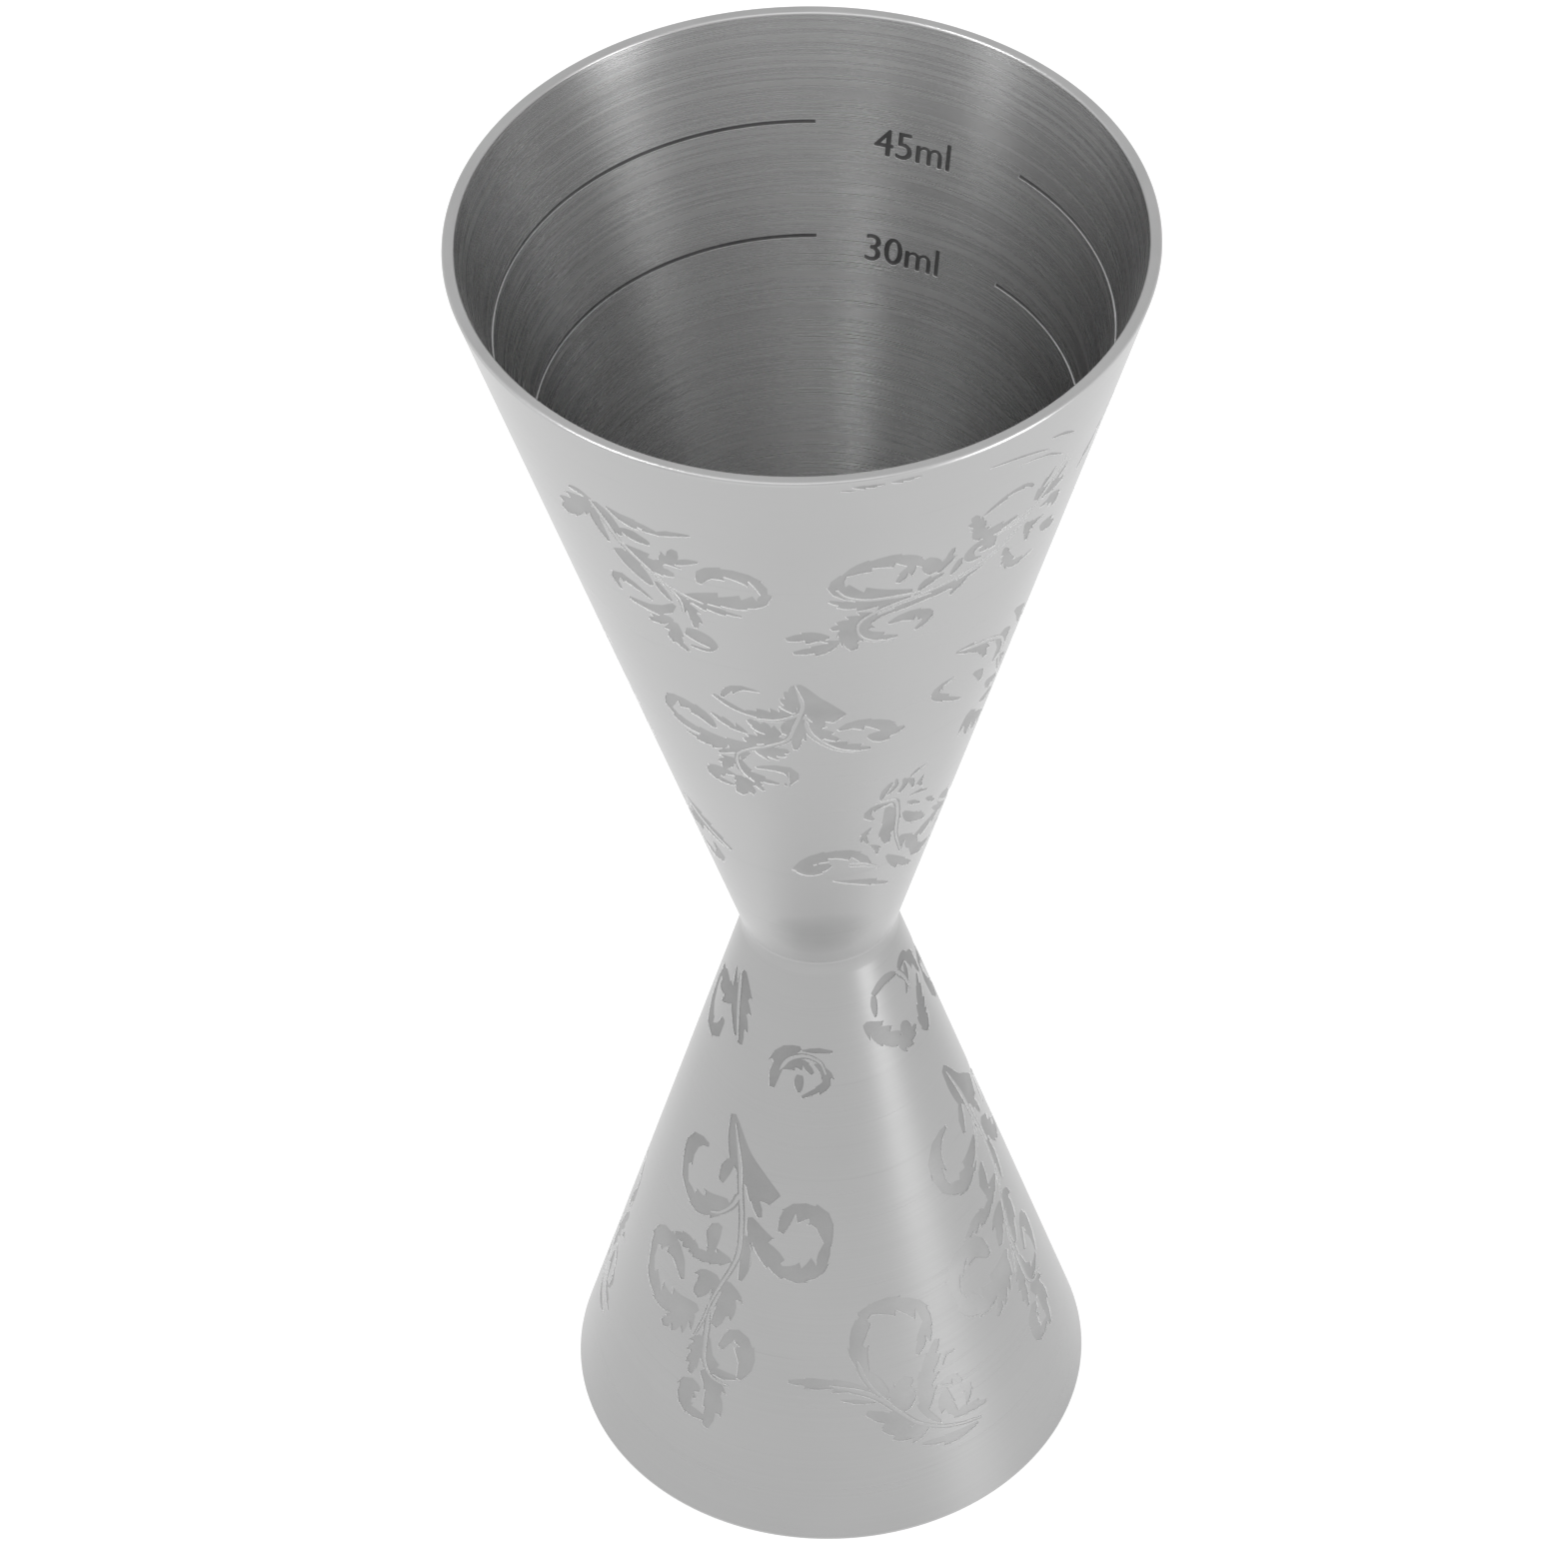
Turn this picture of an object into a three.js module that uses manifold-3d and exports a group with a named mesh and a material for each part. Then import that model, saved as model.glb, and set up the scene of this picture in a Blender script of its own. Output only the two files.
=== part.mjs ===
// A two-ended bar jigger: a 60 ml cone and a 30 ml cone of spun stainless steel, joined floor to floor
// at a narrow waist. Millimetres, +Z up. The origin is the centre of the small rim, which it stands on.
import * as THREE from 'three';
import { mergeVertices } from 'three/addons/utils/BufferGeometryUtils.js';
import Module from 'manifold-3d';

const wasm = await Module();
wasm.setup();

// Driving dimensions
const HEIGHT = 125; // from rim to rim
const WAIST_HEIGHT = 53.4; // the plane where the two cones meet
const LARGE_RIM_RADIUS = 26.35;
const SMALL_RIM_RADIUS = 21.35;
const WAIST_RADIUS = 6.1; // where the straight sides would cross, before the waist is dressed
const WALL = 0.9; // measured square to the cone, and the thickness of each floor
const WAIST_FILLET = 3.5; // radius that the waist is ground and polished to
const RIM_OUTER_ROUND = 0.25;
const RIM_INNER_ROUND = 0.3;
const FLOOR_CORNER = 1.5; // radius between a cup's floor and its inside wall
const BRAZE_THICKNESS = 0.4; // filler between the two floors
const GROOVE_ROOT_RADIUS = 5; // bottom of the V groove that the weld bead fills
const BEAD_HALF_WIDTH = 0.6;
const GRADUATION_HEIGHTS = [116.3, 107.1]; // the 45 ml and 30 ml marks, above the small rim
const CUTTER_RADIUS = 0.18; // round-nosed tool that cuts the graduations, to a depth of its own radius
const LABEL_DIRECTION = THREE.MathUtils.degToRad(65.5); // from +X to the middle of the gap for numerals
const LABEL_SPREAD = THREE.MathUtils.degToRad(42.5);

// Smoothness
const TURNS = 64; // facets round the axis
const ARC_STEPS = 3; // facets in a small radius

// One cone, seen from the waist plane outwards: h is the distance from that plane towards the rim.
function cone(rimRadius, length) {
  const slope = (rimRadius - WAIST_RADIUS) / length;
  const angle = Math.atan(slope);
  const outside = (h) => WAIST_RADIUS + h * slope;
  const inside = (h) => outside(h) - WALL / Math.cos(angle);
  return { length, angle, outside, inside };
}

const large = cone(LARGE_RIM_RADIUS, HEIGHT - WAIST_HEIGHT);
const small = cone(SMALL_RIM_RADIUS, WAIST_HEIGHT);

function arc(centreRadius, centreHeight, radius, from, to) {
  const points = [];
  for (let i = 0; i <= ARC_STEPS; i++) {
    const angle = from + ((to - from) * i) / ARC_STEPS;
    points.push([centreRadius + radius * Math.cos(angle), centreHeight + radius * Math.sin(angle)]);
  }
  return points;
}

// A stretch of the waist's hollow curve, which is centred on the waist plane and tangent to the cone.
function waistCurve(cup, from, to) {
  const centreRadius = WAIST_RADIUS + WAIST_FILLET / Math.cos(cup.angle);
  const points = [];
  for (let i = 0; i <= ARC_STEPS; i++) {
    const h = from + ((to - from) * i) / ARC_STEPS;
    points.push([centreRadius - Math.sqrt(WAIST_FILLET ** 2 - h ** 2), h]);
  }
  return points;
}

// Turns an outline upside down and keeps its direction, for the cup below the waist.
function flip(profile) {
  return profile.map(([radius, h]) => [radius, -h]).reverse();
}

// Revolves [radius, height] pairs about +Z.
function lathe(profile) {
  const points = profile.map(([radius, height]) => new THREE.Vector2(radius, height));
  return new THREE.LatheGeometry(points, TURNS).rotateX(Math.PI / 2);
}

// A cup's floor, wall and lip in one outline, from the middle of its underside round to its inside.
function cupProfile(cup) {
  const { length, angle, outside, inside } = cup;
  const quarter = Math.PI / 2;
  const acrossWall = 1 / Math.cos(angle);
  const outerLip = length - RIM_OUTER_ROUND;
  const innerLip = length - RIM_INNER_ROUND;
  const outerCentre = outside(outerLip) - RIM_OUTER_ROUND * acrossWall;
  const innerCentre = inside(innerLip) + RIM_INNER_ROUND * acrossWall;
  const floorUnder = BRAZE_THICKNESS / 2;
  const floorTop = floorUnder + WALL;
  const corner = floorTop + FLOOR_CORNER;
  const cornerCentre = inside(corner) - FLOOR_CORNER * acrossWall;
  return [
    [0, floorUnder],
    [GROOVE_ROOT_RADIUS, floorUnder],
    ...waistCurve(cup, BEAD_HALF_WIDTH, WAIST_FILLET * Math.sin(angle)),
    ...arc(outerCentre, outerLip, RIM_OUTER_ROUND, -angle, quarter),
    ...arc(innerCentre, innerLip, RIM_INNER_ROUND, quarter, Math.PI - angle),
    ...arc(cornerCentre, corner, FLOOR_CORNER, -angle, -quarter),
    [0, floorTop],
  ];
}

function solidOf(geometry) {
  const bare = geometry.clone();
  bare.deleteAttribute('normal');
  bare.deleteAttribute('uv');
  const merged = mergeVertices(bare, 1e-4);
  return new wasm.Manifold(new wasm.Mesh({
    numProp: 3,
    vertProperties: merged.attributes.position.array,
    triVerts: new Uint32Array(merged.index.array),
  }));
}

function geometryOf(solid) {
  const mesh = solid.getMesh();
  const geometry = new THREE.BufferGeometry();
  geometry.setAttribute('position', new THREE.BufferAttribute(mesh.vertProperties, 3));
  geometry.setIndex(new THREE.BufferAttribute(mesh.triVerts, 1));
  geometry.computeVertexNormals();
  return geometry;
}

// A wedge that opens from the axis and keeps the graduations clear of their numerals.
function labelWedge() {
  const reach = 2 * LARGE_RIM_RADIUS;
  const shape = new THREE.Shape();
  for (const side of [-1, 1]) {
    const direction = LABEL_DIRECTION + (side * LABEL_SPREAD) / 2;
    shape.lineTo(reach * Math.cos(direction), reach * Math.sin(direction));
  }
  shape.closePath();
  return new THREE.ExtrudeGeometry(shape, { depth: large.length, bevelEnabled: false });
}

// The large cup, with a round-bottomed groove cut into its inside at each graduation.
function largeCup() {
  const wedge = solidOf(labelWedge());
  let cup = solidOf(lathe(cupProfile(large)));
  for (const height of GRADUATION_HEIGHTS) {
    const h = height - WAIST_HEIGHT;
    const ring = new THREE.TorusGeometry(large.inside(h), CUTTER_RADIUS, 8, TURNS).translate(0, 0, h);
    cup = cup.subtract(solidOf(ring).subtract(wedge));
  }
  return geometryOf(cup);
}

function smallCup() {
  return lathe(flip(cupProfile(small)));
}

// The weld bead: a ring that fills the V groove between the cups and is dressed flush with the waist.
function waistBead() {
  const root = BRAZE_THICKNESS / 2;
  const above = waistCurve(large, 0, BEAD_HALF_WIDTH);
  const below = flip(waistCurve(small, 0, BEAD_HALF_WIDTH)).slice(0, -1);
  return lathe([
    [GROOVE_ROOT_RADIUS, -root],
    ...below,
    ...above,
    [GROOVE_ROOT_RADIUS, root],
    [GROOVE_ROOT_RADIUS, -root],
  ]);
}

// The braze between the two floors, which reaches the bottom of the V groove.
function floorBraze() {
  const half = BRAZE_THICKNESS / 2;
  return lathe([[0, -half], [GROOVE_ROOT_RADIUS, -half], [GROOVE_ROOT_RADIUS, half], [0, half]]);
}

function metal(color, roughness) {
  return new THREE.MeshStandardMaterial({ color, roughness, metalness: 1 });
}

function part(name, geometry, material) {
  const mesh = new THREE.Mesh(geometry, material);
  mesh.name = name;
  return mesh;
}

const jigger = new THREE.Group();
jigger.position.z = WAIST_HEIGHT;
jigger.add(part('large_cup', largeCup(), metal(0xb8b8b8, 0.38)));
jigger.add(part('small_cup', smallCup(), metal(0xb8b8b8, 0.38)));
jigger.add(part('waist_weld_bead', waistBead(), metal(0xb4b4b4, 0.34)));
jigger.add(part('floor_braze', floorBraze(), metal(0xa9a48f, 0.5)));

export default jigger;
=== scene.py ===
import math

import bmesh
import bpy
from mathutils import Matrix, Vector
from mathutils.bvhtree import BVHTree
from mathutils.geometry import delaunay_2d_cdt, interpolate_bezier


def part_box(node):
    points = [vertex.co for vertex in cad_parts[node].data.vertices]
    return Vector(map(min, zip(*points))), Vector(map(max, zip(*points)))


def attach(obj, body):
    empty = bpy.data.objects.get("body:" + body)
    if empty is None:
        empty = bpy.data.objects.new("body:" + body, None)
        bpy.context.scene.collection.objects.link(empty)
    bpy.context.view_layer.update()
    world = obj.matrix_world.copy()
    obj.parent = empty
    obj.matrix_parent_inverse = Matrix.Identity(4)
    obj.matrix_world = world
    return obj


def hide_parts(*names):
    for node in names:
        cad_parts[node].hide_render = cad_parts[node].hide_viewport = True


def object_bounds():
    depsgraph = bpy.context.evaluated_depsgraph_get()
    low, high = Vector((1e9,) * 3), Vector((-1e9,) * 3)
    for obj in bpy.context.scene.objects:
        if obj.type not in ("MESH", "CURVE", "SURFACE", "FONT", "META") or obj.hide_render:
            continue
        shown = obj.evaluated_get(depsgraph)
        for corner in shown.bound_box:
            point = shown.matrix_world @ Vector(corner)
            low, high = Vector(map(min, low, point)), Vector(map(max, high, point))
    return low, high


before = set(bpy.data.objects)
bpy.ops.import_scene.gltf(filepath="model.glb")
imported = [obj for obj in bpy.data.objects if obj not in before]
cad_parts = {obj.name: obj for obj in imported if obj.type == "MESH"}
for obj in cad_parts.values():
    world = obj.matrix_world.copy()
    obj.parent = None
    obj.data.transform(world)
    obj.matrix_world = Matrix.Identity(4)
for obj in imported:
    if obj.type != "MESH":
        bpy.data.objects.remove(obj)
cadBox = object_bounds()
mm = 0.001

# azimuth 0 is the front, -Y, and it grows towards +X
turning = {
    "steps": 300,
    "seam": math.radians(172),
    "arcSteps": 8,
    "merge": 0.002 * mm,
    "perRadian": 16,        # millimetres to a radian in the flat drawing of a wall
    "drawingMerge": 1e-3,   # points nearer than this, in millimetres, are one in that drawing
    "sharp": math.radians(35),
    "alongCone": 0.9995,    # cosine within which a face counts as lying along the cone
}

joint = {
    "height": (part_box("small_cup")[1].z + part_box("large_cup")[0].z) / 2,
    "halfGap": (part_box("large_cup")[0].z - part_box("small_cup")[1].z) / 2,
    "grooveRoot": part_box("floor_braze")[1].x,
    "beadHalfWidth": 0.6 * mm,
    "crossing": 6.1 * mm,  # radius where the straight sides would meet
    "hollow": 3.5 * mm,    # radius that the waist is ground to
}

shell = {"wall": 0.9 * mm, "outerRound": 0.28 * mm, "innerRound": 0.3 * mm, "floorCorner": 1.5 * mm,
         "largeRim": 26.35 * mm, "smallRim": 21.35 * mm}


# h is always the distance from the waist plane towards the rim of the cup in hand
def cupForm(rimHeight, rimRadius):
    up = 1 if rimHeight > joint["height"] else -1
    length = abs(rimHeight - joint["height"])
    slope = (rimRadius - joint["crossing"]) / length
    angle = math.atan(slope)
    return {"up": up, "length": length, "slope": slope, "angle": angle, "across": 1 / math.cos(angle)}


def outsideRadius(form, h):
    return joint["crossing"] + h * form["slope"]


def insideRadius(form, h):
    return outsideRadius(form, h) - shell["wall"] * form["across"]


def place(form, azimuth, radius, h):
    return Vector((radius * math.sin(azimuth), -radius * math.cos(azimuth), joint["height"] + form["up"] * h))


def coneNormal(form, spot):
    out = Vector((spot.x, spot.y, 0)).normalized() * math.cos(form["angle"])
    return out - Vector((0, 0, form["up"] * math.sin(form["angle"])))


def arcPoints(radius, h, bend, start, end):
    points = []
    for i in range(turning["arcSteps"] + 1):
        angle = start + (end - start) * i / turning["arcSteps"]
        points.append((radius + bend * math.cos(angle), h + bend * math.sin(angle)))
    return points


def waistPoints(form, start, end):
    centre = joint["crossing"] + joint["hollow"] * form["across"]
    points = []
    for i in range(turning["arcSteps"] + 1):
        h = start + (end - start) * i / turning["arcSteps"]
        points.append((centre - math.sqrt(joint["hollow"] ** 2 - h ** 2), h))
    return points


# turns an outline of (radius, h) points once round the axis
def turn(bm, form, outline, finish):
    before = set(bm.faces)
    points = [bm.verts.new(place(form, turning["seam"], radius, h)) for radius, h in outline]
    edges = [bm.edges.new(pair) for pair in zip(points, points[1:])]
    bmesh.ops.spin(bm, geom=points + edges, cent=(0, 0, 0), axis=(0, 0, 1), dvec=(0, 0, 0),
                   angle=2 * math.pi, steps=turning["steps"], use_merge=True, use_duplicate=False)
    for face in set(bm.faces) - before:
        face.material_index = finish


def addObject(name, data):
    thing = bpy.data.objects.new(name, data)
    bpy.context.scene.collection.objects.link(thing)
    return thing


def smoothMesh(bm, name):
    mesh = bpy.data.meshes.new(name)
    bm.to_mesh(mesh)
    bm.free()
    mesh.shade_smooth()
    mesh.set_sharp_from_angle(angle=turning["sharp"])
    return mesh


def smoothRoute(points, steps):
    knots = [Vector(p).to_3d() for p in points]
    ends = [2 * knots[0] - knots[1]] + knots + [2 * knots[-1] - knots[-2]]
    route = []
    for a, b, c, d in zip(ends, ends[1:], ends[2:], ends[3:]):
        stretch = interpolate_bezier(b, b + (c - a) / 6, c - (d - b) / 6, c, steps + 1)
        route += stretch[:-1]
    return [p.to_2d() for p in route + [knots[-1]]]


def sideways(route):
    normals = []
    for i in range(len(route)):
        ahead = route[min(i + 1, len(route) - 1)] - route[max(i - 1, 0)]
        normals.append(Vector((-ahead.y, ahead.x)).normalized())
    return normals


def band(left, right):
    triangles = []
    for a, b, c, d in zip(left, left[1:], right, right[1:]):
        triangles += [(a, b, c), (b, d, c)]
    return triangles


# a stem: a thin band that is pointed where it starts and tapers to its far end
def stem(points, width):
    route = smoothRoute(points, etching["stemSteps"])
    normals = sideways(route)
    last = len(route) - 1
    half = []
    for i in range(last + 1):
        swell = min(1, etching["stemPoint"] + etching["stemSwell"] * i / last)
        half.append(width / 2 * swell * (1 - etching["stemTaper"] * i / last))
    left = [p + n * w for p, n, w in zip(route, normals, half)]
    right = [p - n * w for p, n, w in zip(route, normals, half)]
    return band(left, right)


# a leaf: shallow lobes on one side of its route and deep ones on the other, each leaning over the next
def leaf(points, width, lobes, side):
    route = smoothRoute(points, etching["leafSteps"])
    normals = sideways(route)
    last = len(route) - 1

    def at(t):
        spot = min(t, 1) * last
        i = min(int(spot), last - 1)
        bulge = math.sin(math.pi * (etching["foot"] + etching["run"] * min(t, 1))) ** etching["roundness"]
        full = width * etching["fullness"] * bulge
        return route[i].lerp(route[i + 1], spot - i), normals[i].lerp(normals[i + 1], spot - i) * side * full

    shallow = []
    deep = []
    count = max(lobes, 1)
    steps = etching["lobeSteps"] if lobes else last
    for k in range(count):
        for j in range(steps + 1):
            s = j / steps
            missing = 1 - s ** etching["lobeCurve"] if lobes else 0
            lean = etching["lean"] * s * s / count if lobes else 0
            p, across = at((k + s) / count + lean)
            shallow.append(p - across * etching["back"] * (1 - etching["backNotch"] * missing))
            deep.append(p + across * (1 - etching["back"]) * (1 - etching["notch"] * missing))
    return band(shallow, deep)


# lays flat triangles, in millimetres about a middle point, on a cone without stretching them
def layOn(form, triangles, azimuth, height, tilt=0, size=1, inside=False):
    middle = abs(height * mm - joint["height"])
    apex = joint["crossing"] / form["slope"]
    if inside:
        apex -= shell["wall"] * form["across"] / form["slope"]
    radial = (middle + apex) * form["across"]
    turned = Matrix.Rotation(math.radians(tilt), 2)
    laid = []
    for triangle in triangles:
        spots = []
        for p in triangle:
            q = turned @ p * size * mm
            reach = Vector((q.x, radial + form["up"] * q.y))
            swing = math.atan2(reach.x, reach.y) / math.sin(form["angle"]) * (-1 if inside else 1)
            spots.append((math.radians(azimuth) + swing, reach.length / form["across"] - apex))
        laid.append(spots)
    return laid


# a ring groove in a cone, open at the numerals
def ringMark(start, end, height, width):
    h = height - joint["height"]
    count = graduation["segments"]
    sweep = [start + (end - start) * i / count for i in range(count + 1)]
    low = [Vector((a, h - width / 2)) for a in sweep]
    high = [Vector((a, h + width / 2)) for a in sweep]
    return [[(p.x, p.y) for p in triangle] for triangle in band(low, high)]


# the flat triangles of some marks, as a tree that answers whether a point lies on any of them
def flatTree(triangles):
    points = [Vector((u, h, 0)) for triangle in triangles for u, h in triangle]
    faces = [(i, i + 1, i + 2) for i in range(0, len(points), 3)]
    return BVHTree.FromPolygons(points, faces)


def covers(tree, spot):
    return tree.ray_cast(Vector((spot.x, spot.y, 1)), Vector((0, 0, -1)))[0] is not None


# the smaller of the marks that meet in a single point, which would leave an edge with four faces
def cornerMarks(sheet, sunk):
    lifted = set()
    for vert in sheet.verts:
        ring = [face for face in vert.link_faces if face in sunk and face not in lifted]
        rim = [edge for edge in vert.link_edges if sum(face in ring for face in edge.link_faces) == 1]
        if len(rim) > 2:
            kept = {max(ring, key=lambda face: face.calc_area())}
            for i in range(len(ring)):
                shared = {edge for face in kept for edge in face.edges if vert in edge.verts}
                kept |= {face for face in ring if shared & set(face.edges)}
            lifted |= set(ring) - kept
    return lifted


# a cone's wall between two rings: the marks are drawn on it laid flat in millimetres, then it is rolled up
# and they are pushed in
def markedWall(bm, form, radiusAt, bottom, top, cut, standing, depth, finishes):
    perRadian = turning["perRadian"]
    around = 2 * math.pi * perRadian
    steps = turning["steps"]

    def flatten(triangles):
        flat = []
        for triangle in triangles:
            spots = [((azimuth - turning["seam"]) * perRadian, h / mm) for azimuth, h in triangle]
            turns = min(u for u, h in spots) // around
            flat.append([(u - turns * around, h) for u, h in spots])
            if max(u for u, h in flat[-1]) > around:
                flat.append([(u - around, h) for u, h in flat[-1]])
        return flat

    cut = flatten(cut)
    standing = flatten(standing)
    points = []
    edges = []
    for i in range(steps + 1):
        u = around * i / steps
        points += [Vector((u, bottom / mm)), Vector((u, top / mm))]
        edges.append((2 * i, 2 * i + 1))
        if i < steps:
            edges += [(2 * i, 2 * i + 2), (2 * i + 1, 2 * i + 3)]
    sides = {}
    for triangle in cut + standing:
        for pair in zip(triangle, triangle[1:] + triangle[:1]):
            sides[frozenset(pair)] = sides.get(frozenset(pair), 0) + 1
    numbers = {}
    for pair in (pair for pair, count in sides.items() if count == 1 and len(pair) == 2):
        for spot in pair:
            if spot not in numbers:
                numbers[spot] = len(points)
                points.append(Vector(spot))
        edges.append(tuple(numbers[spot] for spot in pair))
    drawing = delaunay_2d_cdt(points, edges, [], 1, turning["drawingMerge"], False)
    flatPoints, flatFaces = drawing[0], drawing[2]
    cutTree = flatTree(cut)
    standingTree = flatTree(standing)
    sheet = bmesh.new()
    verts = []
    for p in flatPoints:
        h = p.y * mm
        verts.append(sheet.verts.new(place(form, p.x / perRadian + turning["seam"], radiusAt(form, h), h)))
    for corners in flatFaces:
        middle = sum((flatPoints[i] for i in corners), Vector((0, 0))) / len(corners)
        if not 0 < middle.x < around:
            continue
        face = sheet.faces.new([verts[i] for i in corners])
        sunk = cut and covers(cutTree, middle) and not (standing and covers(standingTree, middle))
        face.material_index = finishes[1 if sunk else 0]
    loose = [vert for vert in sheet.verts if not vert.link_faces]
    bmesh.ops.delete(sheet, geom=loose, context="VERTS")
    rims = [vert for vert in sheet.verts if vert.is_boundary]
    bmesh.ops.remove_doubles(sheet, verts=rims, dist=turning["merge"])
    sunk = {face for face in sheet.faces if face.material_index == finishes[1]}
    for face in cornerMarks(sheet, sunk):
        face.material_index = finishes[0]
        sunk.discard(face)
    if sunk:
        region = list(sunk) + list({edge for face in sunk for edge in face.edges})
        region += list({vert for face in sunk for vert in face.verts})
        before = set(sheet.faces)
        pushed = set(bmesh.ops.extrude_face_region(sheet, geom=region)["geom"])
        for item in pushed:
            if isinstance(item, bmesh.types.BMVert):
                item.co += coneNormal(form, item.co) * depth
        for face in set(sheet.faces) - before - pushed:
            face.material_index = finishes[2]
    rolled = bpy.data.meshes.new("rolled")
    sheet.to_mesh(rolled)
    sheet.free()
    bm.from_mesh(rolled)
    bpy.data.meshes.remove(rolled)
    return len(sunk)


def numeralTriangles(text, capHeight):
    curve = bpy.data.curves.new("numerals", "FONT")
    curve.body = text
    curve.align_x = "CENTER"
    curve.resolution_u = 4
    sign = addObject("numerals", curve)
    bpy.context.view_layer.update()
    mesh = bpy.data.meshes.new_from_object(sign.evaluated_get(bpy.context.evaluated_depsgraph_get()))
    mesh.calc_loop_triangles()
    scale = capHeight / max(v.co.y for v in mesh.vertices)
    corners = [v.co.to_2d() * scale for v in mesh.vertices]
    triangles = [[corners[i] for i in t.vertices] for t in mesh.loop_triangles]
    bpy.data.objects.remove(sign)
    bpy.data.curves.remove(curve)
    bpy.data.meshes.remove(mesh)
    return triangles


# gives the faces that lie along the cone its true normals, so that the slim triangles don't show
def roundNormals(mesh, form):
    normals = [Vector((0, 0, 0))] * len(mesh.loops)
    for face in mesh.polygons:
        along = coneNormal(form, face.center).dot(face.normal)
        if abs(along) < turning["alongCone"]:
            continue
        for i in face.loop_indices:
            spot = mesh.vertices[mesh.loops[i].vertex_index].co
            normals[i] = coneNormal(form, spot) * math.copysign(1, along)
    mesh.normals_split_custom_set(normals)


# finishes by number: 0 outside, 1 etched, 2 inside, 3 lip, 4 engraved, 5 the small side walls of marks,
# painted near white as a highlight
def cup(name, node, form, outsideMarks, insideMarks):
    bm = bmesh.new()
    quarter = math.pi / 2
    length, angle, across = form["length"], form["angle"], form["across"]
    floorUnder = joint["halfGap"]
    floorTop = floorUnder + shell["wall"]
    waistEnd = joint["hollow"] * math.sin(angle)
    turn(bm, form, [(0, floorUnder), (joint["grooveRoot"], floorUnder)]
         + waistPoints(form, joint["beadHalfWidth"], waistEnd), 0)
    outer, inner, corner = shell["outerRound"], shell["innerRound"], shell["floorCorner"]
    outerH = length - outer
    innerH = length - inner
    cornerH = floorTop + corner
    outerRadius = outsideRadius(form, outerH) - outer * across
    innerRadius = insideRadius(form, innerH) + inner * across
    cornerRadius = insideRadius(form, cornerH) - corner * across
    lip = arcPoints(outerRadius, outerH, outer, -angle, quarter)
    lip += arcPoints(innerRadius, innerH, inner, quarter, math.pi - angle)
    turn(bm, form, lip, 3)
    bowl = arcPoints(cornerRadius, cornerH, corner, -angle, -quarter)
    turn(bm, form, bowl + [(0, floorTop)], 2)
    cutCount = markedWall(bm, form, outsideRadius, waistEnd, outerH - outer * math.sin(angle),
                          outsideMarks[0], outsideMarks[1], -etching["depth"], (0, 1, 5))
    cutCount += markedWall(bm, form, insideRadius, cornerH - corner * math.sin(angle),
                           innerH + inner * math.sin(angle), insideMarks[0], insideMarks[1],
                           graduation["depth"], (2, 4, 5))
    rims = [vert for vert in bm.verts if vert.is_boundary]
    bmesh.ops.remove_doubles(bm, verts=rims, dist=turning["merge"])
    bmesh.ops.recalc_face_normals(bm, faces=bm.faces)
    openEdges = sum(1 for edge in bm.edges if len(edge.link_faces) != 2)
    mesh = smoothMesh(bm, name)
    roundNormals(mesh, form)
    piece = addObject(name, mesh)
    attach(piece, "root")
    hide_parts(node)
    print(name, len(mesh.polygons), "faces,", cutCount, "sunk, open edges", openEdges)
    return piece


graduation = {
    "lines": [116.3 * mm, 107.1 * mm],
    "width": 0.34 * mm,
    "depth": 0.13 * mm,
    "segments": 120,
    "gapStart": math.radians(134.3),
    "gapEnd": math.radians(176.8),
    "labels": [("45ml", 157.4, 114.0), ("30ml", 157.6, 105.4)],
    "capHeight": 2.2,
    "bold": [(-0.06, 0), (0.06, 0), (0, -0.05), (0, 0.05)],  # copies that thicken the strokes
}


def graduationMarks(form):
    cut = []
    start, end = graduation["gapEnd"], graduation["gapStart"] + 2 * math.pi
    for height in graduation["lines"]:
        cut += ringMark(start, end, height, graduation["width"])
    for text, azimuth, height in graduation["labels"]:
        flat = numeralTriangles(text, graduation["capHeight"])
        for shift in graduation["bold"]:
            copy = [[p + Vector(shift) for p in triangle] for triangle in flat]
            cut += layOn(form, copy, azimuth, height, inside=True)
    return cut, []


etching = {
    "depth": 0.08 * mm,
    "veinWidth": 0.34, "sheath": 2.4,                # a vein, and how much wider is the cut round it
    "stemPoint": 0.1, "stemSwell": 8, "stemTaper": 0.65, "stemSteps": 5,
    "foot": 0.14, "run": 0.83, "roundness": 0.6,     # the bulge of a leaf from its foot to its tip
    "fullness": 1.32, "leafSteps": 6,
    "back": 0.42, "notch": 0.82, "backNotch": 0.4,   # share of the shallow side, depth of the notches
    "lobeCurve": 0.7, "lean": 0.3, "lobeSteps": 4,
}

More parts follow.
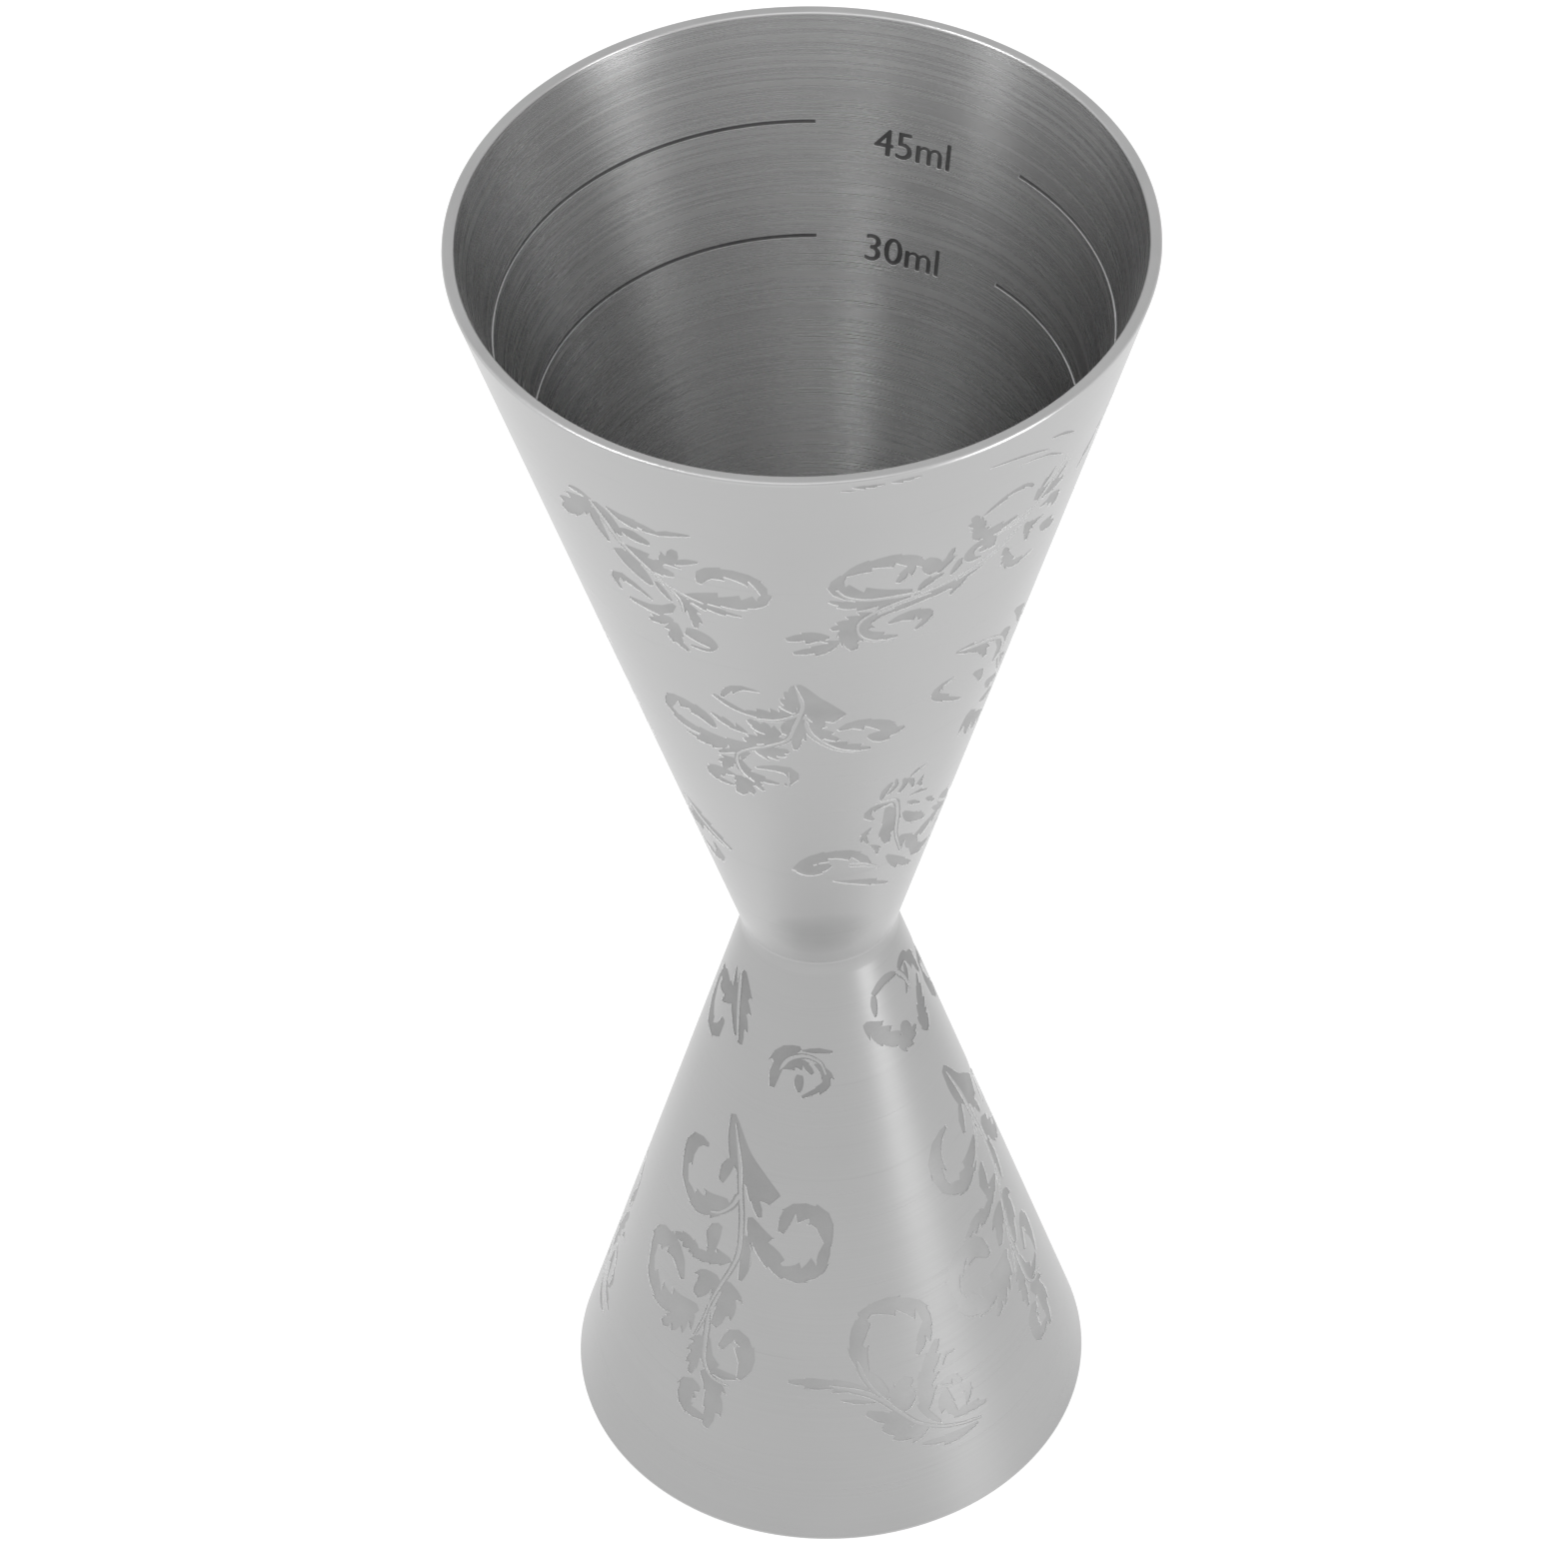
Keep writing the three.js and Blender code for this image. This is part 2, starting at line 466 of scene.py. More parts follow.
# each sprig is drawn in millimetres about its own middle: leaves are (width, lobes, side, points...),
# with the lobes left of the points' direction when side is 1; veins are lines of points left standing
climbing = {
    "leaves": [
        (1.9, 3, -1, (-6.2, 8), (-7.5, 6.2), (-8.8, 4.4), (-9.9, 2.8)),
        (0.7, 0, 1, (-5.9, 8.3), (-7, 8.5), (-8.2, 8)),
        (1.3, 0, 1, (-5.8, 8.2), (-4.9, 6.9), (-3.8, 5)),
        (0.9, 0, 1, (-6.2, 7.2), (-6, 5), (-5.3, 3)),
        (1.3, 2, -1, (-4.5, 8.5), (-3.2, 8), (-1.8, 8), (-0.3, 7.9)),
        (0.8, 1, 1, (-1.6, 7.4), (0, 7.8), (1.1, 8.4), (2.5, 8.7)),
        (1.7, 1, 1, (-3.7, 6.2), (-2.7, 6), (-1.2, 5.7)),
        (2, 3, 1, (-4, 3.9), (-2.5, 3.1), (-1, 2.4), (0.2, 2.2)),
        (1.6, 0, 1, (-4.7, 2.7), (-3.6, 1.2), (-2.2, -0.7)),
        (1.3, 2, 1, (-0.8, 3.8), (0.2, 4.5), (0.9, 6.1)),
        (0.6, 0, 1, (0.5, 4), (1.6, 4.7), (2.6, 5.2)),
        (0.4, 0, 1, (-1.2, 3.5), (0, 3.7), (1, 3.5)),
        (1.5, 3, -1, (2.2, 2), (2.7, 3.5), (4, 4.2), (5.6, 4), (6.8, 2.9), (7, 1.4)),
        (1.7, 4, 1, (0.6, -0.2), (2.8, 0), (4.8, 0), (6.4, 0.5), (7.4, 1.7)),
        (0.9, 3, -1, (0.8, -0.9), (2.5, -1.3), (4.8, -1.8)),
        (0.6, 0, 1, (-1.7, 0.3), (-1.3, -0.8), (-0.7, -2)),
        (1.1, 4, 1, (-0.2, -0.4), (0.5, -1.6), (0.9, -3.2), (0.7, -4.9)),
        (1.1, 2, 1, (-2.5, -3), (-3.8, -2), (-5.1, -1.6), (-6, -2.6), (-5.6, -4)),
        (1.4, 1, 1, (-0.5, -2.3), (-1.6, -3.7), (-3.2, -4.5), (-5, -4.5)),
        (1.2, 3, -1, (-1.2, -4.5), (-2.2, -5.5), (-3.4, -6.4)),
        (1.3, 3, -1, (-1, -5), (-1.2, -6.5), (-1.3, -7.7), (-0.4, -8.9)),
        (1.5, 0, 1, (-0.3, -5.9), (0.9, -6.3), (2, -7.3)),
        (0.4, 0, 1, (-0.2, -7.8), (1.1, -7.9), (2.1, -7.2)),
    ],
    "veins": [((-6.1, 8.2), (-5, 6), (-4, 4), (-2.3, 2), (-1, 0.6), (0, -1.2), (0.1, -3)),
              ((-0.8, 0.3), (0.8, -0.5), (2, -0.9))],
}

trailing = {
    "leaves": [
        (1.5, 2, 1, (-6.2, -4.6), (-7.7, -4.4), (-9.4, -5)),
        (1.3, 2, 1, (-5.4, -5.4), (-6.8, -6.2), (-8.7, -6.9)),
        (0.6, 1, -1, (-4.6, -5), (-5.5, -5.2), (-6.8, -5)),
        (1.6, 4, -1, (-3, -1.5), (-4.5, -2.4), (-6.2, -3.4)),
        (1.6, 3, 1, (-4.5, -2.6), (-4.9, -4), (-4.6, -5.3), (-4.2, -6.6)),
        (1.2, 3, 1, (-2.4, -2), (-3.8, -2.8), (-3.6, -4.4), (-2.3, -5.2), (-1, -5.6)),
        (1.3, 3, -1, (-1.9, -3.5), (-0.7, -2.9), (0.8, -3.2), (1.2, -4.3), (0.4, -5.4)),
        (1.5, 4, -1, (-5.9, 4.2), (-4.6, 5.3), (-2.5, 5.7), (-0.8, 5), (0.3, 3.7)),
        (1.1, 2, 1, (-0.6, 4.6), (-1.2, 3.4), (-1.8, 2.2)),
        (1.7, 3, -1, (-0.4, 0.7), (-3, 0.9), (-5, 1.4), (-6.4, 2.8), (-6, 4.4)),
        (1.2, 4, 1, (-0.5, -0.3), (-3, -0.2), (-5, 0), (-6.7, 0.8)),
        (0.8, 3, -1, (5.5, 0.1), (3, -0.7), (0.5, -1.1), (-1.5, -1.6), (-3.4, -2.4)),
        (0.8, 2, -1, (4.2, -0.4), (3.4, -1.2), (2.9, -2.1)),
        (1.2, 0, 1, (1.3, 2.2), (0.9, 3.5), (0.3, 4.7)),
        (0.9, 2, -1, (1.5, 1.9), (2.1, 3.4), (2.4, 4.9)),
        (0.9, 1, -1, (2.6, 0.9), (3, 1.8), (3.2, 2.9)),
        (1, 2, 1, (0, 0.3), (0.8, 1.2), (2, 1.6)),
        (0.8, 0, 1, (6.1, 2), (5.9, 3.3), (4.7, 3.7), (3.9, 3), (4.2, 1.9), (5.2, 1.5)),
        (0.7, 0, 1, (4.9, 2.9), (5.6, 2.2)),
        (1.2, 3, 1, (4.8, 5.6), (4.2, 6.9), (3.7, 8.3)),
        (1.4, 3, 1, (4.1, 6.3), (4.7, 5), (6.2, 4.4), (8.2, 4.4)),
        (0.7, 3, -1, (4.5, 7.5), (5.6, 8.3), (7, 8.8), (8.4, 8.5), (9.3, 7.4)),
        (0.9, 2, 1, (9.4, 2.2), (9.8, 0.5), (9.9, -1)),
        (1, 3, 1, (8, -0.6), (8.3, -2.4), (9.5, -3.6), (11.3, -4)),
        (1.7, 3, 1, (9.8, 5.2), (11.4, 4.7), (13.2, 4)),
        (1.3, 2, -1, (11.6, 3.3), (12.6, 2), (13, 0.6)),
        (1.3, 2, 1, (11.6, -0.6), (12.6, -2), (13.8, -3.6)),
        (0.8, 3, 1, (9.7, 4.9), (10.5, 6.3), (11.7, 7.7)),
        (0.8, 3, -1, (10.9, 4), (12.2, 5.1), (13.4, 6.6)),
        (0.8, 3, -1, (9.2, 1.9), (10.3, 1.1), (11.7, 0.6)),
        (0.7, 2, 1, (10.7, 2.9), (11.7, 2.6), (12.8, 2.7)),
        (0.7, 3, -1, (7.4, 0.6), (7.8, -0.7), (7.5, -2)),
    ],
    "veins": [((9.6, 3.3), (7.8, 1.9), (6, 0.9), (4, 0.3), (2, -0.1), (0, -0.4), (-2, -0.9), (-3.5, -1.8),
               (-4.2, -3), (-3.9, -4.6), (-2.8, -5.6), (-1.2, -6)),
              ((0.4, 0), (-2, 0.3), (-4, 0.5), (-5.5, 1.2), (-6.3, 2.3)),
              ((9.8, 3.9), (8, 3.6), (6.2, 3.6)), ((12.9, 7.9), (11.5, 5.7), (10, 3.8))],
}

spreading = {
    "leaves": [
        (1.1, 4, 1, (0.9, 3.2), (0.6, 4.4), (0.8, 5.7), (1.1, 7.4)),
        (1.9, 0, 1, (4.4, 2.1), (3.1, 3.6), (2.2, 5.1), (1.4, 7.6)),
        (1.3, 1, 1, (2, 4.4), (2.4, 2.8), (2.9, 1.1)),
        (0.8, 2, 1, (-1.5, 6), (-3, 6.2), (-4.1, 5.2), (-4.6, 4)),
        (0.6, 0, 1, (-5.3, 4), (-3.8, 2.9), (-2, 2.1)),
        (1.7, 4, -1, (0.8, 2.9), (-0.6, 2.6), (-2.8, 2.6)),
        (1.3, 0, 1, (1.4, 2.5), (0.6, 1.3), (0, -0.1)),
        (1.6, 3, -1, (-0.2, -0.1), (-1.4, 0.3), (-2.7, 1.5)),
        (1.6, 4, -1, (-0.1, -0.8), (-1.7, -1.3), (-3.2, -1.9)),
        (1, 3, -1, (-2.8, -0.7), (-4.3, 0), (-5.7, 0.9)),
        (1.6, 3, 1, (-5.6, -1.5), (-6.3, -0.2), (-7.7, 0.5), (-9.2, -0.1), (-9.8, -2)),
        (1.5, 4, 1, (-2.2, -2.3), (-4, -3), (-6.3, -3.2), (-8.6, -2.8), (-9.9, -1.4)),
        (0.9, 3, 1, (-4.6, -3.8), (-6.4, -4.4), (-8.3, -4.3)),
        (0.5, 0, 1, (-3.4, -3.7), (-4.7, -4.4), (-5.5, -5.3)),
        (0.4, 0, 1, (-2.9, -3.7), (-3.4, -4.4), (-3.6, -5.3)),
        (1.7, 4, -1, (-2.4, -3.4), (-1.2, -3.1), (0.2, -2.5)),
        (1, 2, 1, (1.4, 1.2), (1, -0.4), (0.7, -2.4)),
        (1.3, 3, 1, (1.9, 1.9), (2.6, 0.3), (4, -1.3)),
        (1.1, 3, 1, (3.2, -1.4), (4.6, -2.5), (6.4, -3.5)),
        (1.3, 3, -1, (4.1, 0.2), (5.2, 0.8), (6.8, 0.3), (8, -0.9), (8.5, -2.4)),
        (1.6, 2, -1, (6.2, -1.5), (7.5, -2), (9.2, -1.9)),
        (1.2, 3, 1, (-3.7, -5.2), (-3.5, -6.8), (-2.4, -7.6), (-0.8, -8)),
        (1.1, 2, -1, (-2.5, -6), (-1.2, -5.5), (0.1, -5.7), (0.4, -6.8), (-0.3, -8.2)),
        (1.2, 3, -1, (-4.2, -5.3), (-4.8, -6.3), (-5.1, -7.6)),
        (1.3, 3, 1, (-4.3, -8.2), (-5.4, -8.1), (-6.3, -8.9), (-5.9, -9.8), (-4.5, -9.9)),
        (1.7, 3, 1, (-3.9, -7.9), (-3.6, -9.3), (-4.2, -11)),
        (0.8, 2, 1, (-3, -7.9), (-2.6, -8.6), (-2.1, -9.5)),
    ],
    "veins": [((1.2, 7.4), (1.5, 5.5), (1.6, 4.2), (1.3, 2.8), (0.8, 1), (0.2, -0.9), (-1.2, -2.1),
               (-2.8, -3.2), (-3.8, -4.4), (-4, -6), (-3.6, -7.5), (-2.8, -8.4)),
              ((1.4, 3.2), (0.4, 2.4), (-0.7, 1.9), (-2.2, 1.8)),
              ((1.7, 2.4), (1.9, 0.5), (2.7, -1.2), (4, -2.7), (5.6, -3.6))],
}

tall = {
    "leaves": [
        (0.5, 0, 1, (-2.8, 13.2), (-2.5, 11.5), (-2.1, 9.5)),
        (1.2, 1, -1, (-2, 10.6), (-2.6, 9.3), (-3, 7.7)),
        (1.9, 0, 1, (2.2, 8.2), (0.4, 9.5), (-1.3, 11.4), (-2.6, 14.6)),
        (1.2, 2, 1, (-0.5, 9.4), (0.3, 7.9), (1, 6)),
        (1.4, 2, 1, (-4.8, 10.2), (-6.3, 10), (-7.4, 8.4), (-7.4, 6), (-6.4, 4.4)),
        (2, 3, -1, (-2, 6.4), (-3.6, 5), (-5.4, 4.4), (-7.3, 5.4)),
        (1.9, 3, 1, (0.3, 5.8), (1.1, 4), (2.4, 2.4), (3.7, 0.9)),
        (1.6, 3, 1, (2.8, 1.7), (4.8, 1.5), (6.4, 2.6), (6.9, 5)),
        (1.7, 3, 1, (6.9, 4.6), (6.3, 7), (4.9, 7.8), (3.4, 7.1), (2.9, 5.2)),
        (1.6, 1, -1, (-2.5, 3.8), (-3, 2.6), (-3, 0.8)),
        (0.8, 0, 1, (-0.2, 3.8), (0.2, 1.5), (0, -0.7)),
        (1.3, 4, -1, (-1, 1), (-3, 0.2), (-5, -0.7)),
        (1.4, 3, 1, (-4.2, -0.5), (-5.4, 0.3), (-7.4, 0)),
        (1.9, 3, 1, (-5.8, -3.6), (-6.6, -1.6), (-8.4, -0.9), (-10, -2.2), (-10.2, -4.4)),
        (2.1, 4, -1, (-3.6, -5), (-5.6, -6.2), (-8, -6.6), (-9.7, -5.4), (-10.3, -3.6)),
        (1.6, 4, 1, (-3.8, -6), (-5.4, -7.4), (-7.4, -8.9)),
        (1.9, 2, -1, (-2, -1.2), (-3, -2.3), (-4, -4.2)),
        (1.8, 3, 1, (-0.9, -1.2), (-0.8, -3), (-1.9, -6.1)),
        (1.3, 2, 1, (-2, -7.4), (-2.1, -9.2), (-1, -10.4), (0.9, -10.2)),
        (1.5, 3, 1, (1, -10.2), (1.6, -8.4), (1.1, -6.4), (0, -6.2), (-1, -7.9)),
        (1.3, 4, -1, (-2.9, -7.6), (-3.2, -9.5), (-3.5, -11.8)),
        (1.8, 3, 1, (-2.3, -10.8), (-1.2, -12), (-1, -13.8), (-1.4, -16.2)),
        (1.7, 3, 1, (-2.3, -13), (-3.3, -12.8), (-3.8, -14), (-3.2, -15.2), (-1.6, -15.4)),
    ],
    "veins": [((-2.3, 13.8), (-1.4, 10.5), (-1, 8), (-0.5, 5), (-0.4, 2), (-0.9, 0), (-1.7, -2), (-2.4, -4),
               (-2.9, -6), (-3.6, -8)),
              ((-1, 7.6), (-1.5, 6.2), (-2.6, 4.9), (-3.6, 4.4)),
              ((-2.4, -4.5), (-2.4, -8), (-2.2, -10), (-1.3, -11.1), (0.3, -11.3))],
}

lying = {
    "leaves": [
        (1.1, 3, 1, (-1.8, -0.8), (-4, 0), (-6.4, 0.5), (-8.4, 0.7)),
        (0.5, 1, 1, (-1.4, -2.2), (-2.8, -1.8), (-4.2, -1.4)),
        (1.5, 2, 1, (1.9, -5.2), (0, -4.3), (-2.2, -3)),
        (1.4, 3, 1, (3, -6), (1.2, -6), (-1, -4.9)),
        (0.9, 2, 1, (7.6, -7.6), (5, -7.8), (2.2, -7.4)),
        (1.4, 3, -1, (-1.7, 0.4), (-2.4, 3), (-2, 5.4), (-0.8, 7.5)),
        (1.5, 3, -1, (-2, 6.6), (0, 7.1), (2, 6.6), (3.5, 5.4), (4.1, 3.6)),
        (1.2, 2, 1, (3.8, 4.6), (3.4, 3), (2.6, 1.4)),
        (0.9, 0, 1, (-1.9, 0.8), (-1.1, -0.6), (-0.2, -2.1)),
        (2.3, 3, -1, (1.3, -3.7), (0.9, -2), (1.6, -0.4)),
        (1.6, 4, -1, (3, -4.4), (3, -2), (3.6, 0), (4.5, 2.2)),
        (0.5, 0, 1, (2.2, -3.4), (3, -4.8), (4.1, -6)),
        (0.9, 2, -1, (4.4, -2.3), (5.6, -2.2), (6.5, -3)),
        (0.9, 2, -1, (6.2, -3.2), (7, -3.8), (6.8, -5.2)),
        (1.3, 2, -1, (4.7, -2.8), (4.8, -4.3), (5.7, -5.9)),
        (0.9, 3, 1, (5.3, -5.9), (7, -5.8), (8.7, -6)),
        (0.5, 1, 1, (4.8, -0.5), (5.2, 0.4), (6.1, 0.4)),
    ],
    "veins": [((-5, 0.1), (-2.6, -0.8), (-1, -1.9), (0.5, -3.6), (2, -5.2), (4, -6.3), (6, -6.9), (8, -7.2)),
              ((-2.5, 2.2), (-2, 0.3), (-1.2, -1.2), (0, -2.8))],
}

arching = {
    "leaves": [
        (1.1, 4, 1, (-5, 6.9), (-3.2, 6.1), (-1.6, 4.7), (-0.8, 2.9)),
        (1.4, 0, 1, (0.4, 4.6), (1.6, 2.6), (1.2, 0.2)),
        (1.2, 2, 1, (1.8, 6.6), (3.4, 4.6), (4.4, 2.6), (5.6, 1)),
        (0.9, 3, 1, (-4, 2.9), (-5.3, 2.5), (-5.4, 1.3), (-4.2, 0.2), (-2.2, -1.4)),
        (1, 1, 1, (-1.6, 1.6), (-0.6, 0.6), (0, -1)),
        (1.2, 2, 1, (2, 0.2), (3, -1.5), (3.4, -3.2)),
        (1.2, 2, -1, (1.2, -2.4), (2.8, -3.9), (4.6, -5)),
        (2, 4, -1, (0, -5.4), (1, -7.4), (2.8, -9), (4.6, -10.8)),
        (1.2, 2, 1, (1.6, -5.2), (3, -6), (5, -7)),
    ],
    "veins": [((-4.6, 6.7), (-1.5, 5.6), (0.8, 3.9), (2, 1.8), (2.2, 0), (3.4, -2.8))],
}

cluster = {
    "leaves": [
        (0.8, 1, 1, (0.6, 4.6), (0.9, 5.8), (1.4, 7)),
        (0.5, 0, 1, (2.2, 4.7), (2.7, 5.9), (2.4, 6.9)),
        (0.6, 1, -1, (3.5, 4.5), (3.3, 5.7), (2.6, 6.6)),
        (0.9, 2, 1, (2.1, 3.5), (1, 3.8), (0, 3.5), (-0.3, 2.6), (0.3, 1.7)),
        (1.4, 3, 1, (1.4, 3.2), (1.8, 1), (1.6, -1), (1.9, -3)),
        (1.4, 3, -1, (-5.3, -5.6), (-4.5, -4), (-3.3, -2.9), (-1.8, -2.7), (-0.4, -3.6), (0.6, -5.4)),
        (1.8, 2, 1, (-5.2, -5.5), (-4, -5.2), (-2.6, -4.3)),
        (0.8, 2, 1, (-2.2, -6.9), (0, -7.9), (1.4, -8.9), (2.7, -10.1)),
        (1, 2, 1, (3, 1.2), (4, -0.9), (5.6, -2.6)),
        (1.2, 3, -1, (3, -2.8), (4.3, -4.8), (5.4, -7)),
        (1, 2, -1, (2, -5), (3.4, -7.3), (5, -9.5)),
        (0.5, 2, 1, (1.1, 5.1), (1.8, 6.1), (1.7, 7.3)),
        (0.5, 2, 1, (3.1, 3.4), (4.2, 3.2), (5.2, 2.4)),
        (0.5, 2, -1, (3.1, 2.6), (3.8, 1.9), (4.6, 0.9)),
        (0.5, 3, 1, (3.6, 0.1), (4.5, -0.7), (5.4, -1.9)),
        (0.6, 3, -1, (0.2, 0.7), (-0.3, -0.6), (0.2, -1.9)),
        (0.5, 2, 1, (0.4, -2.2), (1, -3.1), (1.1, -4.2)),
        (0.5, 2, -1, (4.4, 5.7), (4.1, 4.8), (4.4, 3.9)),
        (0.5, 2, 1, (5.2, 1.1), (5.8, 0.1), (6.4, -1)),
        (0.5, 2, 1, (2.9, 6.4), (3.6, 7.1), (4.5, 7.3)),
    ],
    "veins": [((0.2, 4.3), (1.2, 4.1), (2, 3.6), (2.4, 1.5), (2.6, -2), (3.4, -5.5)),
              ((-1.2, -4.6), (0.2, -5.2), (1.4, -6.4))],
}

wreath = {
    "leaves": [
        (1.5, 4, 1, (-3.2, 0.9), (-2.5, -0.5), (-1.4, -1.9), (0.3, -3.2)),
        (1.3, 4, -1, (-0.9, -3), (0.3, -3.1), (1.6, -2.5)),
        (1, 0, 1, (0.7, -2.8), (0.4, -2), (0, -1.2)),
        (1.7, 5, -1, (3.3, -4.2), (2.8, -2.8), (3.2, -1.2), (4, 0.8)),
        (0.7, 0, 1, (-1.9, 2.9), (-0.8, 3.4), (0.1, 3.4), (1, 3.1)),
        (0.8, 0, 1, (1.4, 3.2), (2.3, 3.6), (3.3, 3.4)),
        (1.3, 2, -1, (2.6, 3.4), (4, 2.4), (4.9, 0.4)),
        (0.5, 0, 1, (-1.9, 2.9), (-2.1, 2), (-2.2, 0.9)),
        (0.6, 0, 1, (2.4, 3.1), (2.2, 2), (1.5, 0.6)),
    ],
    "veins": [((1.1, 3.3), (1.9, 2), (2.3, 0.6))],
}

hook = {
    "leaves": [
        (1.3, 2, -1, (-0.1, 1.2), (-1.2, 0.5), (-2, -1), (-2.4, -3.1)),
        (1, 3, -1, (-1.7, -1.2), (-0.9, -0.5), (0.2, -0.4), (1, -1.2)),
        (0.8, 3, 1, (1.1, -0.2), (1.9, -1), (2.1, -2), (1.4, -2.7), (0.1, -3.5)),
        (0.6, 0, 1, (-0.1, -1.4), (-0.2, -2.2), (-0.1, -3.1)),
        (0.6, 1, 1, (0, 0.9), (1.2, 1), (2.5, 0.9)),
    ],
    "veins": [((-1.8, -1.3), (-1, -0.1), (0.3, 0.4), (1.5, -0.1), (2, -1.2))],
}

pair = {
    "leaves": [
        (2.2, 3, 1, (-0.5, 0.9), (-2.2, 1.3), (-4.4, 1.7)),
        (1.6, 2, 1, (-3.8, 1.6), (-4.5, -0.8), (-3.8, -2.9), (-2.6, -3.5), (-1.4, -2.8), (-1.1, -1.3)),
        (1.7, 4, 1, (0, 4.6), (0.4, 2.4), (0.9, 0.4), (1.5, -1.9)),
        (1.1, 1, -1, (-1.4, 4), (-0.7, 2), (0.1, 0.1), (0.9, -1.5)),
    ],
    "veins": [((-0.6, 4.2), (0, 2), (0.6, 0), (1.2, -1.7))],
}

fringe = {
    "leaves": [
        (0.5, 3, -1, (-2.6, 0.05), (-1.4, -0.05), (-0.2, 0)),
        (0.5, 3, -1, (0.2, 0), (1.3, 0), (2.5, 0.05)),
        (0.2, 0, 1, (-3.4, -0.3), (-2.8, -0.4), (-2.2, -0.4)),
    ],
    "veins": [],
}

strokes = {
    "leaves": [
        (0.3, 0, 1, (-4.6, 2.3), (-2.4, 1.9), (-0.4, 1.2), (1.6, 0.1)),
        (0.35, 1, -1, (-1.6, 0.6), (0.4, 0), (2.2, -1), (3.6, -2.4)),
        (0.3, 0, 1, (1.2, 1.7), (2.8, 0.9), (4.4, -0.4)),
    ],
    "veins": [],
}

# sprig, azimuth in degrees and height in millimetres of its middle, tilt, size
largeGroup = [(climbing, -27, 108, 0, 1), (trailing, 21, 108, 0, 1), (spreading, -8, 90, 0, 1),
              (arching, 51, 90, 0, 1), (cluster, 19, 74, 0, 1)]
largeFoliage = largeGroup + [(pair, -50, 70, 30, 0.9), (fringe, 12.5, 124.05, 0, 1),
                             (strokes, 41, 119.6, 0, 1)]
# the front's group again, twice round the back, each time with a pair of its own
for onwards, pairAzimuth in ((113, 65), (226, 178)):
    largeFoliage += [(sprig, azimuth + onwards, *rest) for sprig, azimuth, *rest in largeGroup]
    largeFoliage.append((pair, pairAzimuth, 70, 30, 0.9))
smallFoliage = [
    (tall, -30, 24, 0, 1), (lying, 16, 15, 0, 1), (tall, 81, 24, -2, 1.04), (pair, -60, 46, 0, 1),
    (hook, -12, 45, 0, 1), (wreath, 50, 47, 0, 1), (lying, 133, 15, 0, 1), (tall, 205, 24, 0, 1),
    (lying, 253, 15, 0, 1), (pair, 120, 46, 0, 1), (hook, 165, 45, 0, 1), (wreath, 210, 47, 0, 1),
]


def drawSprig(sprig):
    cut = []
    standing = []
    for width, lobes, side, *points in sprig["leaves"]:
        cut += leaf(points, width, lobes, side)
    for points in sprig["veins"]:
        standing += stem(points, etching["veinWidth"])
        cut += stem(points, etching["veinWidth"] * etching["sheath"])
    return cut, standing


def foliage(form, places):
    cut = []
    standing = []
    for sprig, azimuth, height, tilt, size in places:
        leaves, veins = drawSprig(sprig)
        cut += layOn(form, leaves, azimuth, height, tilt, size)
        standing += layOn(form, veins, azimuth, height, tilt, size)
    return cut, standing


largeForm = cupForm(cadBox[1].z, shell["largeRim"])
smallForm = cupForm(cadBox[0].z, shell["smallRim"])
largeCup = cup("largeCup", "large_cup", largeForm,
               foliage(largeForm, largeFoliage), graduationMarks(largeForm))
smallCup = cup("smallCup", "small_cup", smallForm,
               foliage(smallForm, smallFoliage), ([], []))


def waistBead():
    bm = bmesh.new()
    above = waistPoints(largeForm, 0, joint["beadHalfWidth"])
    below = waistPoints(smallForm, 0, joint["beadHalfWidth"])
    root, gap = joint["grooveRoot"], joint["halfGap"]
    outline = [(root, -gap)] + [(r, -h) for r, h in reversed(below[1:])] + above + [(root, gap), (root, -gap)]
    turn(bm, largeForm, outline, 0)
    bmesh.ops.remove_doubles(bm, verts=bm.verts, dist=turning["merge"])
    bmesh.ops.recalc_face_normals(bm, faces=bm.faces)
    piece = addObject("waistBead", smoothMesh(bm, "waistBead"))
    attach(piece, "root")
    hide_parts("waist_weld_bead")
    return piece


bead = waistBead()
print("cups and waist turned")


# effects shared by several finishes: each group gives one value, from 0 to about 1
def effectGroup(name, inputs, output):
    tree = bpy.data.node_groups.new(name, "ShaderNodeTree")
    for label, value in inputs:
        socket = tree.interface.new_socket(label, in_out="INPUT", socket_type="NodeSocketFloat")
        socket.default_value = value
    tree.interface.new_socket(output, in_out="OUTPUT", socket_type="NodeSocketFloat")
    return tree, tree.nodes.new("NodeGroupInput"), tree.nodes.new("NodeGroupOutput")


def addNode(tree, kind, inputs=(), **settings):
    node = tree.nodes.new(kind)
    for key, value in settings.items():
        setattr(node, key, value)
    for key, value in dict(inputs).items():
        if isinstance(value, bpy.types.NodeSocket):
            tree.links.new(value, node.inputs[key])
        else:
            node.inputs[key].default_value = value
    return node


def mathNode(tree, operation, *values):
    return addNode(tree, "ShaderNodeMath", dict(enumerate(values)), operation=operation).outputs[0]


def remap(tree, value, low, high, fromLow=0.0, fromHigh=1.0):
    sockets = {"Value": value, "From Min": fromLow, "From Max": fromHigh, "To Min": low, "To Max": high}
    return addNode(tree, "ShaderNodeMapRange", sockets).outputs[0]


def objectSpot(tree):
    return addNode(tree, "ShaderNodeTexCoord").outputs["Object"]


def alongAxes(tree, spot):
    return addNode(tree, "ShaderNodeSeparateXYZ", {0: spot}).outputs


